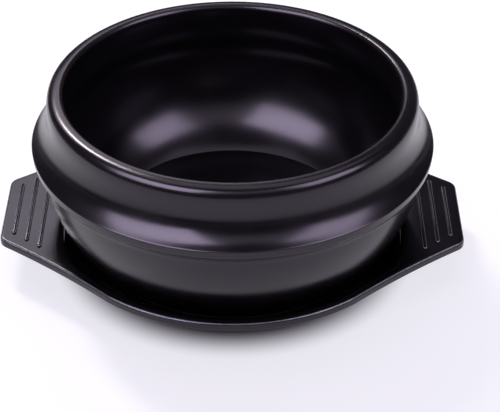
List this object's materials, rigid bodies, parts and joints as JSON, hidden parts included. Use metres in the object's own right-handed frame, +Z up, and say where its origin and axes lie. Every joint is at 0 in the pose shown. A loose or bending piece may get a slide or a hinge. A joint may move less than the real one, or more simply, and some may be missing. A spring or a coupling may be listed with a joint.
{
  "type": "stew pot with serving tray",
  "caption": "Round black glazed clay stew pot with a rolled lip, full belly and grip bead, standing in a low moulded serving tray with ribbed handles.",
  "frame": {"origin": "centre of the tray's foot ring on the table, on the axis of the pot", "axes": "+X along the two handles, +Y across them away from the diner, +Z up the axis of the pot"},
  "size_m": [0.2158, 0.185, 0.0883],
  "materials": {
    "pot": "satin black glaze",
    "tray": "satin black moulding"
  },
  "bodies": {
    "tray": {"tray": "tray"},
    "pot": {"pot": "pot"}
  },
  "joints": [
    {"name": "pot_lift", "type": "slide", "parent": "tray", "child": "pot", "axis": [0, 0, 1], "range_m": [0, 0.12]}
  ]
}
